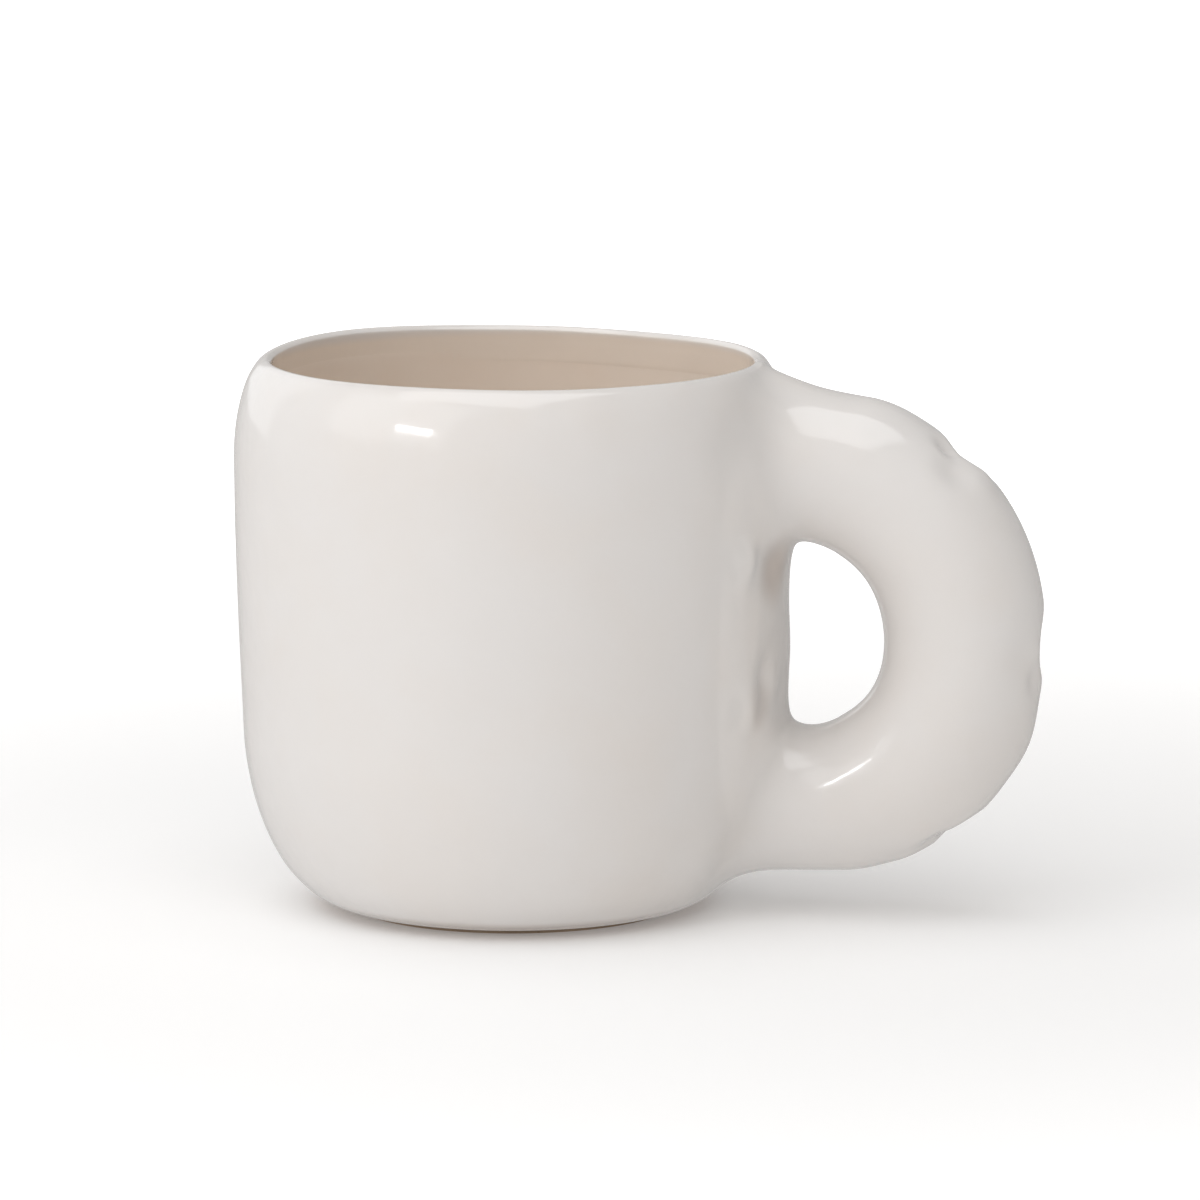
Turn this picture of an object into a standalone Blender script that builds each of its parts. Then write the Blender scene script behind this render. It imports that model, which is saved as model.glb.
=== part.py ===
"""Round-bellied ceramic mug with a thick ring handle.

The mug is built the way a potter builds it: a turned wall luted to a floor slab and a foot
ring, a solid coil bent into the handle, a wad of clay smoothed round each end of the coil, and
the fired glaze as thin skins over the outside, over the inside and under the floor.

Frame: metres, +Z up. The origin lies on the table under the middle of the mug's outline; the
handle points along +X and the body's own axis stands at x = BODY_X.
"""
import math

import bmesh
import bpy
from mathutils import Matrix, Vector

MM = 0.001

# Body, measured on the finished glazed surface.
HEIGHT = 92.1 * MM
BODY_R = 46.5 * MM          # widest, at WIDEST_Z
WIDEST_Z = 76.4 * MM
BELLY_R = 45.3 * MM         # where the wall starts to turn under, at BELLY_Z
BELLY_Z = 32.6 * MM
BELLY_POWER = 1.97          # exponent of the turned-under curve; 2 is an ellipse
HEEL_R = 28.4 * MM          # where the outer glaze stops beside the foot ring
HEEL_Z = 0.5 * MM
LIP_R = 41.1 * MM           # crest of the lip
SHOULDER_POWER = 1.83       # exponent of the curve from the widest line up to the lip
LIP_ROUND = 1.0 * MM
LIP_INSIDE_Z = HEIGHT - 1.5 * MM   # where the outer glaze ends inside the mouth

# Inside of the cup, measured on the finished liner glaze.
INNER_R = 41.9 * MM
INNER_WIDEST_Z = 62.0 * MM
INNER_BELLY_R = 41.5 * MM
INNER_BELLY_Z = 36.0 * MM
INNER_FLOOR_R = 22.5 * MM
INNER_FLOOR_Z = 6.2 * MM
INNER_POWER = 2.0           # exponent of the round corner between wall and floor

# Foot.
FOOT_OUTER_R = 28.0 * MM
FOOT_INNER_R = 23.4 * MM
FOOT_HEIGHT = 2.1 * MM
FOOT_EDGE = 0.5 * MM
SLAB_THICKNESS = 2.9 * MM

# Handle: a coil bent into a ring that stands on the wall.
RING_X = 47.7 * MM          # ring centre, from the body's axis
RING_Z = 47.2 * MM
RING_R = 28.3 * MM          # centre line of the coil
COIL_R = 12.7 * MM
RING_UPPER_DEG = 106.0      # each end runs on past the wall before it is cut to it
RING_LOWER_DEG = -120.0
SWELLS = (                  # angle, width in degrees, thicker by, further out by
    (22.0, 48.0, 0.9 * MM, 0.0 * MM),       # under the thumb
    (38.0, 22.0, 0.0 * MM, 0.3 * MM),
    (-41.0, 24.0, 0.8 * MM, 1.2 * MM),      # where the fingers close round it
    (-80.0, 16.0, -0.45 * MM, 0.0 * MM),    # thinner towards the lower joint
    (-100.0, 14.0, 0.0 * MM, -0.9 * MM),
)

# Wads: how far they flare out from the coil at the wall, and how fast they fade along it.
UPPER_WAD = 2.2 * MM
LOWER_WAD = 2.2 * MM
WAD_FADE = 3.2 * MM
WAD_LIMIT = 1.15            # the flare grows no further than this inside the wall
WAD_EDGE = 0.7 * MM         # flare left where a wad ends on the coil
UPPER_WALL_DEG = 92.5       # where the coil's centre line meets the wall
LOWER_WALL_DEG = -98.5

# Layers.
GLAZE = 0.6 * MM
GAP = 0.3 * MM              # between pieces that touch
TO_CLAY = GLAZE + GAP

BODY_SEGMENTS = 40
COIL_SEGMENTS = 20
BELLY_STEPS = 8             # profile steps: outside, from the heel up to the lip
SIDE_STEPS = 3
SHOULDER_STEPS = 6
MOUTH_STEPS = 5             # inside, from the lip down to the floor
FLOOR_STEPS = 7
STATION_DEG = 9.0           # between the coil's cross-sections
FINE_DEG = 4.0              # the same, where a wad fades out
PAST_DEG = 2.0              # by which a cutter outruns the piece it cuts
CUTTER_PAST = 3.0 * MM      # the same, below the foot and above the mouth
ANGLE_TOLERANCE = 0.01
TOUCH = 0.001 * MM          # points closer than this are one point
SHARP_DEG = 35.0            # edges that turn more than this are shaded sharp
BODY_X = -(RING_X + RING_R + COIL_R - BODY_R) / 2


def superellipse(count, power):
    """Pairs that run from (0, 1) to (1, 0) along a rounded quarter."""
    for i in range(count + 1):
        t = math.pi / 2 * i / count
        yield math.sin(t) ** (2 / power), math.cos(t) ** (2 / power)


def outer_curve():
    """Outer profile (radius, height) from the heel beside the foot up to the lip's crest."""
    pts = [
        (HEEL_R + (BELLY_R - HEEL_R) * out, HEEL_Z + (BELLY_Z - HEEL_Z) * (1 - up))
        for out, up in superellipse(BELLY_STEPS, BELLY_POWER)
    ]
    for i in range(1, SIDE_STEPS + 1):
        part = i / SIDE_STEPS
        rise = math.sin(part * math.pi / 2)
        pts.append((BELLY_R + (BODY_R - BELLY_R) * rise, BELLY_Z + (WIDEST_Z - BELLY_Z) * part))
    pts += [
        (LIP_R + (BODY_R - LIP_R) * out, WIDEST_Z + (HEIGHT - WIDEST_Z) * up)
        for up, out in list(superellipse(SHOULDER_STEPS, SHOULDER_POWER))[1:]
    ]
    return pts


def lip_curve():
    """The lip's inner round, from just past the crest down to where the outer glaze ends."""
    centre_z = HEIGHT - LIP_ROUND
    turn = [math.radians(a) for a in (30, 60, 90)]
    pts = [(LIP_R - LIP_ROUND * math.sin(a), centre_z + LIP_ROUND * math.cos(a)) for a in turn]
    return pts + [(LIP_R - LIP_ROUND, LIP_INSIDE_Z)]


def inner_curve():
    """Inside of the cup (radius, height) from the lip down to the middle of the floor."""
    pts = []
    lip_r = LIP_R - LIP_ROUND
    for i in range(MOUTH_STEPS + 1):
        part = i / MOUTH_STEPS
        bulge = math.sin(part * math.pi / 2)
        pts.append(
            (lip_r + (INNER_R - lip_r) * bulge, LIP_INSIDE_Z + (INNER_WIDEST_Z - LIP_INSIDE_Z) * part)
        )
    pts += [
        (
            INNER_FLOOR_R + (INNER_BELLY_R - INNER_FLOOR_R) * out,
            INNER_FLOOR_Z + (INNER_BELLY_Z - INNER_FLOOR_Z) * (1 - up),
        )
        for up, out in superellipse(FLOOR_STEPS, INNER_POWER)
    ]
    return pts


def offset(curve, distance):
    """The curve moved sideways by distance; positive is to the right of its direction."""
    out = []
    for i, point in enumerate(curve):
        before = Vector(curve[max(i - 1, 0)])
        after = Vector(curve[min(i + 1, len(curve) - 1)])
        along = (after - before).normalized()
        out.append((point[0] + along.y * distance, point[1] - along.x * distance))
    return out


def new_object(name, bm, material):
    """A smooth-shaded object under the mug's own empty, from a closed bmesh."""
    bmesh.ops.recalc_face_normals(bm, faces=bm.faces)
    mesh = bpy.data.meshes.new(name)
    bm.to_mesh(mesh)
    bm.free()
    mesh.shade_smooth()
    mesh.set_sharp_from_angle(angle=math.radians(SHARP_DEG))
    obj = bpy.data.objects.new(name, mesh)
    bpy.context.collection.objects.link(obj)
    obj.parent = body_axis
    if material is None:
        obj.hide_render = True
        obj.display_type = "WIRE"
    else:
        mesh.materials.append(material)
    return obj


def turned(name, outline, material=None):
    """A solid of revolution about the body's axis from a closed (radius, height) outline."""
    bm = bmesh.new()
    verts = [bm.verts.new((r, 0, z)) for r, z in outline]
    edges = [bm.edges.new((a, b)) for a, b in zip(verts, verts[1:] + verts[:1])]
    on_axis = [e for e in edges if all(v.co.x < TOUCH for v in e.verts)]
    edges = [e for e in edges if e not in on_axis]
    bmesh.ops.delete(bm, geom=on_axis, context="EDGES_FACES")
    bmesh.ops.spin(
        bm, geom=verts + edges, cent=(0, 0, 0), axis=(0, 0, 1),
        angle=2 * math.pi, steps=BODY_SEGMENTS, use_merge=True, use_duplicate=False,
    )
    bmesh.ops.remove_doubles(bm, verts=bm.verts, dist=TOUCH)
    return new_object(name, bm, material)


def swollen(degrees):
    """Radius of the coil, and of the ring there, at an angle; 0 is furthest out, 90 on top."""
    radius, ring = COIL_R, RING_R
    for centre, width, thicker, further in SWELLS:
        share = math.exp(-(((degrees - centre) / width) ** 2))
        radius += thicker * share
        ring += further * share
    return radius, ring


def flare(degrees):
    """How far the wads stand out from the coil at an angle round the ring."""
    along_upper = math.radians(UPPER_WALL_DEG - degrees) * RING_R
    along_lower = math.radians(degrees - LOWER_WALL_DEG) * RING_R
    upper = UPPER_WAD * min(math.exp(-along_upper / WAD_FADE), WAD_LIMIT)
    lower = LOWER_WAD * min(math.exp(-along_lower / WAD_FADE), WAD_LIMIT)
    return upper + lower


def wad_end(wall_deg, size):
    """The angle at which a wad has faded to its edge on the coil."""
    length = WAD_FADE * math.log(size / WAD_EDGE)
    return wall_deg - math.copysign(math.degrees(length / RING_R), wall_deg)


def station(degrees, grow, with_flare):
    """Where the coil's cross-section stands at an angle round the ring, and how large it is."""
    a = math.radians(degrees)
    radius, ring = swollen(degrees)
    radius += grow + (flare(degrees) if with_flare else 0.0)
    outward = Vector((math.cos(a), 0, math.sin(a)))
    along = Vector((-math.sin(a), 0, math.cos(a)))
    place = Matrix.Translation(Vector((RING_X, 0, RING_Z)) + outward * ring)
    turn = Matrix((outward, Vector((0, 1, 0)), along)).transposed().to_4x4()
    return place @ turn @ Matrix.Scale(radius, 4)


def evenly(start, end, step):
    """Angles from start to end, both included, about a step apart."""
    count = max(1, round(abs(end - start) / step))
    return [start + (end - start) * i / count for i in range(count + 1)]


def all_stations():
    """Every station round the ring, from above the upper wad to below the lower one."""
    upper_end = wad_end(UPPER_WALL_DEG, UPPER_WAD)
    lower_end = wad_end(LOWER_WALL_DEG, LOWER_WAD)
    return (
        [RING_UPPER_DEG + PAST_DEG]
        + evenly(RING_UPPER_DEG, UPPER_WALL_DEG, STATION_DEG)
        + evenly(UPPER_WALL_DEG, upper_end, FINE_DEG)[1:]
        + evenly(upper_end, lower_end, STATION_DEG)[1:]
        + evenly(lower_end, LOWER_WALL_DEG, FINE_DEG)[1:]
        + evenly(LOWER_WALL_DEG, RING_LOWER_DEG, STATION_DEG)[1:]
        + [RING_LOWER_DEG - PAST_DEG]
    )


def coil(name, start, end, grow, with_flare, material=None):
    """A stretch of the coil: a circle extruded from station to station, down round the ring."""
    angles = [a for a in all_stations() if end - ANGLE_TOLERANCE < a < start + ANGLE_TOLERANCE]
    bm = bmesh.new()
    first = bmesh.ops.create_circle(bm, cap_ends=True, radius=1.0, segments=COIL_SEGMENTS)
    last = station(angles[0], grow, with_flare)
    bmesh.ops.transform(bm, matrix=last, verts=first["verts"])
    loop = list(bm.edges)
    for angle in angles[1:]:
        step = bmesh.ops.extrude_edge_only(bm, edges=loop)["geom"]
        verts = [g for g in step if isinstance(g, bmesh.types.BMVert)]
        here = station(angle, grow, with_flare)
        bmesh.ops.transform(bm, matrix=here @ last.inverted(), verts=verts)
        loop = [
            g for g in step
            if isinstance(g, bmesh.types.BMEdge) and all(v in verts for v in g.verts)
        ]
        last = here
    bmesh.ops.edgeloop_fill(bm, edges=loop)
    return new_object(name, bm, material)


def combine(obj, other, operation):
    """Adds a Boolean of another object to an object."""
    modifier = obj.modifiers.new(f"{operation.lower()}_{other.name}", "BOOLEAN")
    modifier.operation = operation
    modifier.solver = "EXACT"
    modifier.object = other


def principled(name, color, roughness, coat):
    """A dielectric surface with a clear coat of the given strength."""
    material = bpy.data.materials.new(name)
    material.use_nodes = True
    shader = material.node_tree.nodes["Principled BSDF"]
    shader.inputs["Base Color"].default_value = (*color, 1.0)
    shader.inputs["Roughness"].default_value = roughness
    shader.inputs["Metallic"].default_value = 0.0
    shader.inputs["Coat Weight"].default_value = coat
    return material


for old in list(bpy.data.objects):
    bpy.data.objects.remove(old, do_unlink=True)

body_axis = bpy.data.objects.new("body_axis", None)
body_axis.location = (BODY_X, 0, 0)
bpy.context.collection.objects.link(body_axis)

bare_clay = principled("bare_clay", (0.66, 0.60, 0.53), 0.85, 0.0)
white_glaze = principled("white_glaze", (0.81, 0.77, 0.72), 0.12, 0.6)
liner = principled("cream_liner", (0.77, 0.71, 0.63), 0.15, 0.5)

# Turned wall: outer skin from the heel to the lip, over the lip's crest, then down the inside.
slab_top = INNER_FLOOR_Z - TO_CLAY
slab_bottom = slab_top - SLAB_THICKNESS
joint_r = FOOT_OUTER_R + GAP
outside = offset(outer_curve(), -TO_CLAY)
inside = [p for p in offset(lip_curve() + inner_curve()[1:], -TO_CLAY) if p[0] > joint_r]
outside = [p for p in outside if p[0] > joint_r + GAP]
crest = offset(outer_curve() + lip_curve(), -TO_CLAY)[len(outer_curve()) - 1]
outside = [(joint_r, outside[0][1])] + [p for p in outside if p[1] < crest[1] and p[0] > crest[0]]
inside = [p for p in inside if p[1] < crest[1] and p[1] > slab_top]
cup_wall = turned("cup_wall", outside + [crest] + inside + [(joint_r, slab_top)], bare_clay)

# Floor slab inside the wall's lower edge, and the foot ring under its margin.
turned(
    "floor_slab",
    [
        (0, slab_bottom), (FOOT_OUTER_R - FOOT_EDGE, slab_bottom),
        (FOOT_OUTER_R, slab_bottom + FOOT_EDGE), (FOOT_OUTER_R, slab_top - FOOT_EDGE),
        (FOOT_OUTER_R - FOOT_EDGE, slab_top), (0, slab_top),
    ],
    bare_clay,
)
turned(
    "foot_ring",
    [
        (FOOT_INNER_R + FOOT_EDGE, 0), (FOOT_OUTER_R - FOOT_EDGE / 2, 0),
        (FOOT_OUTER_R, FOOT_EDGE / 2), (FOOT_OUTER_R, FOOT_HEIGHT),
        (FOOT_INNER_R, FOOT_HEIGHT), (FOOT_INNER_R, FOOT_EDGE),
    ],
    bare_clay,
)

# Everything inside this solid belongs to the wall; a handle piece is cut back to it.
under = offset(outer_curve(), -GLAZE)
lip_under = offset(outer_curve() + lip_curve(), -GLAZE)[len(outer_curve()) - 1:]
lip_top = lip_under[0]
under = [p for p in under if p[1] < lip_top[1] and p[0] > lip_top[0] or p[1] < BELLY_Z]
wall_cutter = turned(
    "wall_cutter",
    [(0, -CUTTER_PAST), (under[0][0], -CUTTER_PAST)] + under + lip_under[:-1]
    + [(lip_under[-1][0], LIP_INSIDE_Z), (0, LIP_INSIDE_Z + CUTTER_PAST)],
)

# Handle coil, saddled to the wall at both ends.
handle_coil = coil("handle_coil", RING_UPPER_DEG, RING_LOWER_DEG, -TO_CLAY, False, bare_clay)
combine(handle_coil, wall_cutter, "DIFFERENCE")

# Wads smoothed round the coil's ends.
ring_top = RING_UPPER_DEG + PAST_DEG
ring_bottom = RING_LOWER_DEG - PAST_DEG
coil_cutter = coil("coil_cutter", ring_top, ring_bottom, -GLAZE, False)
for name, start, end in (
    ("upper_handle_wad", RING_UPPER_DEG, wad_end(UPPER_WALL_DEG, UPPER_WAD)),
    ("lower_handle_wad", wad_end(LOWER_WALL_DEG, LOWER_WAD), RING_LOWER_DEG),
):
    wad = coil(name, start, end, -TO_CLAY, True, bare_clay)
    combine(wad, coil_cutter, "DIFFERENCE")
    combine(wad, wall_cutter, "DIFFERENCE")

# Outer glaze: one skin over the wall, both wads and the coil, open at the lip and the foot.
outer_glaze = turned(
    "outer_glaze",
    [(0, HEEL_Z)] + outer_curve() + lip_curve() + [(0, LIP_INSIDE_Z)],
    white_glaze,
)
glaze_handle = coil("glaze_handle", RING_UPPER_DEG, RING_LOWER_DEG, 0.0, True)
hollow_handle = coil("hollow_handle", ring_top, ring_bottom, -GLAZE, True)
combine(outer_glaze, glaze_handle, "UNION")
combine(outer_glaze, hollow_handle, "DIFFERENCE")
combine(outer_glaze, wall_cutter, "DIFFERENCE")

# Liner glaze inside the cup, from just under the outer glaze's edge down over the floor.
cup = inner_curve()
cup[0] = (cup[0][0], LIP_INSIDE_Z - GAP)
shell = offset(cup, -GLAZE)
shell[0] = (shell[0][0], cup[0][1])
turned(
    "liner_glaze",
    cup + [(0, INNER_FLOOR_Z), (0, INNER_FLOOR_Z - GLAZE)] + shell[::-1],
    liner,
)

# Glaze under the floor, inside the foot ring.
base_top = slab_bottom - GAP
base_r = FOOT_INNER_R - GAP
turned(
    "base_glaze",
    [(0, base_top - GLAZE), (base_r, base_top - GLAZE), (base_r, base_top), (0, base_top)],
    white_glaze,
)
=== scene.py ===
"""Finished looks of a round-bellied ceramic mug with a thick, finger-pressed ring handle.

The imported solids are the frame. The glaze is modelled again as fine continuous surfaces: an outer
skin that rolls over the lip and runs out along the handle, a liner inside the cup, and the bare
foot ring with the glazed recess inside it.
"""
import logging
import math
from collections.abc import Callable, Iterator, Sequence
from contextlib import contextmanager
from dataclasses import dataclass, replace
from enum import Enum

import bmesh
import bpy
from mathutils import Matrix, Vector


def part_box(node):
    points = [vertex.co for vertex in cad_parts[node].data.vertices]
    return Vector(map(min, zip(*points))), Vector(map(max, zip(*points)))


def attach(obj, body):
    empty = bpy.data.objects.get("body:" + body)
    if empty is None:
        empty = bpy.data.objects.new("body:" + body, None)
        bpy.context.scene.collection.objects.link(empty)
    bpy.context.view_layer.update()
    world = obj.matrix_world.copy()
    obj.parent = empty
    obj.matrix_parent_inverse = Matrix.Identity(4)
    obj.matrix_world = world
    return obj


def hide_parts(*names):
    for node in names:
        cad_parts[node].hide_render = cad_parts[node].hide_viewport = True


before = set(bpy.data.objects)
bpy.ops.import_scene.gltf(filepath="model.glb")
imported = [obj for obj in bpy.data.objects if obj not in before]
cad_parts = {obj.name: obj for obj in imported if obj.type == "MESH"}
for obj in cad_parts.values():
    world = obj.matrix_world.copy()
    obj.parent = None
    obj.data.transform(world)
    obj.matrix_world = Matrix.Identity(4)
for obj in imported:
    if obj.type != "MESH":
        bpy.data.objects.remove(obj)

LOG = logging.getLogger("mug")
MM = 0.001
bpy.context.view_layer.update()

Point = tuple[float, float]
Colour = tuple[float, float, float]
Place = tuple[float, float, float]


class Slot(Enum):
    """The record's material slots."""

    BARE_CLAY = "bare_clay"
    WHITE_GLAZE = "white_glaze"
    # The liner's glaze slot; its warm beige is painted shade and warm bounce light inside the cup.
    LINER_GLAZE_WITH_PAINTED_SHADE = "cream_liner"


def body_axis_x() -> float:
    """Where the body's own axis stands along X, from the turned wall's box.

    Returns:
        The X of the axis, in metres.
    """
    low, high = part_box("cup_wall")
    return (low.x + high.x) / 2


AXIS_X = body_axis_x()


def from_axis(p: Vector) -> float:
    """How far a point stands from the body's axis."""
    return math.hypot(p.x - AXIS_X, p.y)


def outwards(bearing_deg: float) -> Vector:
    """The direction out from the body's axis at a bearing, 0 being the handle's."""
    turn = math.radians(bearing_deg)
    return Vector((math.cos(turn), math.sin(turn), 0))


# ------------------------------------------------------------------ modelling


def deselect_all() -> None:
    """Leaves nothing selected."""
    for obj in bpy.context.selected_objects:
        obj.select_set(False)


def make_active(obj: bpy.types.Object) -> None:
    """Selects one object alone and makes it the active one.

    Args:
        obj: The object.
    """
    deselect_all()
    obj.select_set(True)
    bpy.context.view_layer.objects.active = obj


@contextmanager
def edit_mode(obj: bpy.types.Object) -> Iterator[None]:
    """Edit mode on one object, for as long as the block lasts.

    Args:
        obj: The mesh object to edit.
    """
    make_active(obj)
    bpy.ops.object.mode_set(mode="EDIT")
    yield
    bpy.ops.object.mode_set(mode="OBJECT")


def choose_faces(obj: bpy.types.Object, wanted: Callable[[Vector], bool]) -> None:
    """Selects the faces whose middle passes a test, in edit mode.

    Args:
        obj: The object in edit mode.
        wanted: Says whether a face with this middle, in world space, is selected.
    """
    bpy.ops.mesh.select_mode(type="FACE")
    mesh = bmesh.from_edit_mesh(obj.data)
    for face in mesh.faces:
        face.select_set(wanted(obj.matrix_world @ face.calc_center_median()))
    bmesh.update_edit_mesh(obj.data)


def choose_open_edges(obj: bpy.types.Object, wanted: Callable[[Vector], bool]) -> None:
    """Selects the open edges whose middle passes a test, in edit mode.

    Args:
        obj: The object in edit mode.
        wanted: Says whether an open edge with this middle, in world space, is selected.
    """
    bpy.ops.mesh.select_mode(type="EDGE")
    bpy.ops.mesh.select_all(action="DESELECT")
    mesh = bmesh.from_edit_mesh(obj.data)
    for edge in mesh.edges:
        middle = obj.matrix_world @ ((edge.verts[0].co + edge.verts[1].co) / 2)
        if edge.is_boundary and wanted(middle):
            edge.select_set(True)
    bmesh.update_edit_mesh(obj.data)


def choose_verts(obj: bpy.types.Object, wanted: Callable[[Vector], bool]) -> None:
    """Selects the vertices whose place passes a test, in edit mode.

    Args:
        obj: The object in edit mode.
        wanted: Says whether a vertex at this place, in world space, is selected.
    """
    bpy.ops.mesh.select_mode(type="VERT")
    bpy.ops.mesh.select_all(action="DESELECT")
    mesh = bmesh.from_edit_mesh(obj.data)
    for vert in mesh.verts:
        if wanted(obj.matrix_world @ vert.co):
            vert.select_set(True)
    mesh.select_flush(True)
    bmesh.update_edit_mesh(obj.data)


def choose_nearest(obj: bpy.types.Object, place: Vector) -> None:
    """Selects the one vertex nearest to a place, in edit mode.

    Args:
        obj: The object in edit mode.
        place: The place, in world space.
    """
    bpy.ops.mesh.select_mode(type="VERT")
    bpy.ops.mesh.select_all(action="DESELECT")
    mesh = bmesh.from_edit_mesh(obj.data)
    local = obj.matrix_world.inverted() @ place
    nearest = min(mesh.verts, key=lambda vert: (vert.co - local).length_squared)
    nearest.select_set(True)
    bmesh.update_edit_mesh(obj.data)


def turned_cage(name: str, profile: Sequence[Point], segments: int) -> bpy.types.Object:
    """A ring of vertices extruded ring by ring along a profile about the body's axis.

    Args:
        name: The new object's name.
        profile: The rings, as (radius, height).
        segments: Vertices in each ring.

    Returns:
        The object, in object mode.
    """
    radius, height = profile[0]
    deselect_all()
    bpy.ops.mesh.primitive_circle_add(
        vertices=segments, radius=radius, location=(AXIS_X, 0, height)
    )
    obj = bpy.context.object
    obj.name = name
    obj.data.name = name
    with edit_mode(obj):
        bpy.ops.mesh.select_all(action="SELECT")
        for next_radius, next_height in profile[1:]:
            factor = next_radius / radius
            bpy.ops.mesh.extrude_region_move(
                TRANSFORM_OT_translate={"value": (0, 0, next_height - height)}
            )
            bpy.ops.transform.resize(
                value=(factor, factor, 1), center_override=(AXIS_X, 0, next_height)
            )
            radius, height = next_radius, next_height
    return obj


def close_middle(obj: bpy.types.Object, radius: float) -> None:
    """Draws the innermost ring of a turned cage together on the body's axis.

    Args:
        obj: The turned cage.
        radius: A little more than the innermost ring's radius.
    """
    with edit_mode(obj):
        choose_open_edges(obj, lambda p: from_axis(p) < radius)
        bpy.ops.mesh.extrude_region_move()
        bpy.ops.mesh.merge(type="CENTER")


def subdivide(obj: bpy.types.Object, levels: int) -> None:
    """Rounds a cage by subdivision and applies it.

    Args:
        obj: The object.
        levels: How many times it is subdivided.
    """
    make_active(obj)
    modifier = obj.modifiers.new("Subdivision", "SUBSURF")
    modifier.levels = levels
    modifier.render_levels = levels
    bpy.ops.object.modifier_apply(modifier=modifier.name)


def settle(obj: bpy.types.Object) -> None:
    """Merges doubles, turns faces outwards and puts the object's place into its mesh.

    Args:
        obj: The finished object.
    """
    with edit_mode(obj):
        bpy.ops.mesh.select_all(action="SELECT")
        bpy.ops.mesh.remove_doubles(threshold=0.005 * MM)
        bpy.ops.mesh.normals_make_consistent(inside=False)
    bpy.ops.object.transform_apply(location=True, rotation=True, scale=True)
    bpy.ops.object.shade_smooth()


def superellipse(count: int, power: float) -> list[Point]:
    """Points that run from (0, 1) to (1, 0) along a rounded quarter.

    Args:
        count: Steps along the quarter.
        power: 2 gives an ellipse, and more gives a squarer corner.

    Returns:
        The points as (up, out).
    """
    turns = [math.pi / 2 * i / count for i in range(count + 1)]
    return [(math.sin(t) ** (2 / power), math.cos(t) ** (2 / power)) for t in turns]


def through(points: Sequence[Point]) -> list[Point]:
    """Moves a cage's points out so that the rounded line runs through the given ones.

    Args:
        points: Where the rounded line should run, from end to end.

    Returns:
        The cage's points, in the same order.
    """
    cage = [Vector(p) for p in points]
    goal = [Vector(p) for p in points]
    for _ in range(8):
        rounded = [(a + 4 * b + c) / 6 for a, b, c in zip(cage, cage[1:], cage[2:])]
        cage[1:-1] = [b + t - r for b, t, r in zip(cage[1:-1], goal[1:-1], rounded)]
    return [(p.x, p.y) for p in cage]


def cage_gain(segments: int) -> float:
    """How much larger than its finished circle a cage's ring has to be.

    Args:
        segments: Vertices in the ring.

    Returns:
        The factor that makes up for what subdivision takes off a ring.
    """
    return 3 / (2 + math.cos(2 * math.pi / segments))


# ------------------------------------------------------------------ forms


@dataclass(frozen=True)
class BodyForm:
    """The turned body's sizes, on the finished glaze, as radii and heights."""

    height: float = 92.1 * MM
    widest_r: float = 46.5 * MM
    widest_z: float = 76.4 * MM
    belly_r: float = 45.3 * MM
    belly_z: float = 32.6 * MM
    belly_power: float = 1.97
    heel_r: float = 28.4 * MM
    heel_z: float = 0.8 * MM
    lip_r: float = 41.1 * MM
    lip_round: float = 1.0 * MM
    shoulder_power: float = 1.83
    inner_r: float = 41.9 * MM
    inner_widest_z: float = 62.0 * MM
    inner_belly_r: float = 41.5 * MM
    inner_belly_z: float = 36.0 * MM
    inner_floor_r: float = 22.5 * MM
    inner_floor_z: float = 6.2 * MM

    def outer_radius(self, z: float) -> float:
        """Radius of the outside at a height.

        Args:
            z: The height, from the heel to the lip.

        Returns:
            The radius there.
        """
        if z < self.belly_z:
            drop = (self.belly_z - z) / (self.belly_z - self.heel_z)
            turn = math.asin(min(1.0, drop ** (self.belly_power / 2)))
            out = math.cos(turn) ** (2 / self.belly_power)
            return self.heel_r + (self.belly_r - self.heel_r) * out
        if z < self.widest_z:
            part = (z - self.belly_z) / (self.widest_z - self.belly_z)
            return self.belly_r + (self.widest_r - self.belly_r) * math.sin(part * math.pi / 2)
        rise = min(1.0, (z - self.widest_z) / (self.height - self.widest_z))
        turn = math.asin(rise ** (self.shoulder_power / 2))
        out = math.cos(turn) ** (2 / self.shoulder_power)
        return self.lip_r + (self.widest_r - self.lip_r) * out

    def inner_radius(self, z: float) -> float:
        """Radius of the inside at a height above the rounded corner of the floor.

        Args:
            z: The height, from the inner belly to the lip.

        Returns:
            The radius there.
        """
        mouth_r = self.lip_r - self.lip_round
        if z < self.inner_widest_z:
            part = (z - self.inner_belly_z) / (self.inner_widest_z - self.inner_belly_z)
            return self.inner_belly_r + (self.inner_r - self.inner_belly_r) * part
        part = (self.height - z) / (self.height - self.inner_widest_z)
        return mouth_r + (self.inner_r - mouth_r) * math.sin(part * math.pi / 2)


@dataclass(frozen=True)
class Swell:
    """A stretch of the handle that is thicker, or stands further out, than the plain ring."""

    at_deg: float
    width_deg: float
    thicker: float = 0.0
    further: float = 0.0

    def share(self, degrees: float) -> float:
        """How much of the swell is felt at an angle round the ring."""
        return math.exp(-(((degrees - self.at_deg) / self.width_deg) ** 2))


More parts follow.
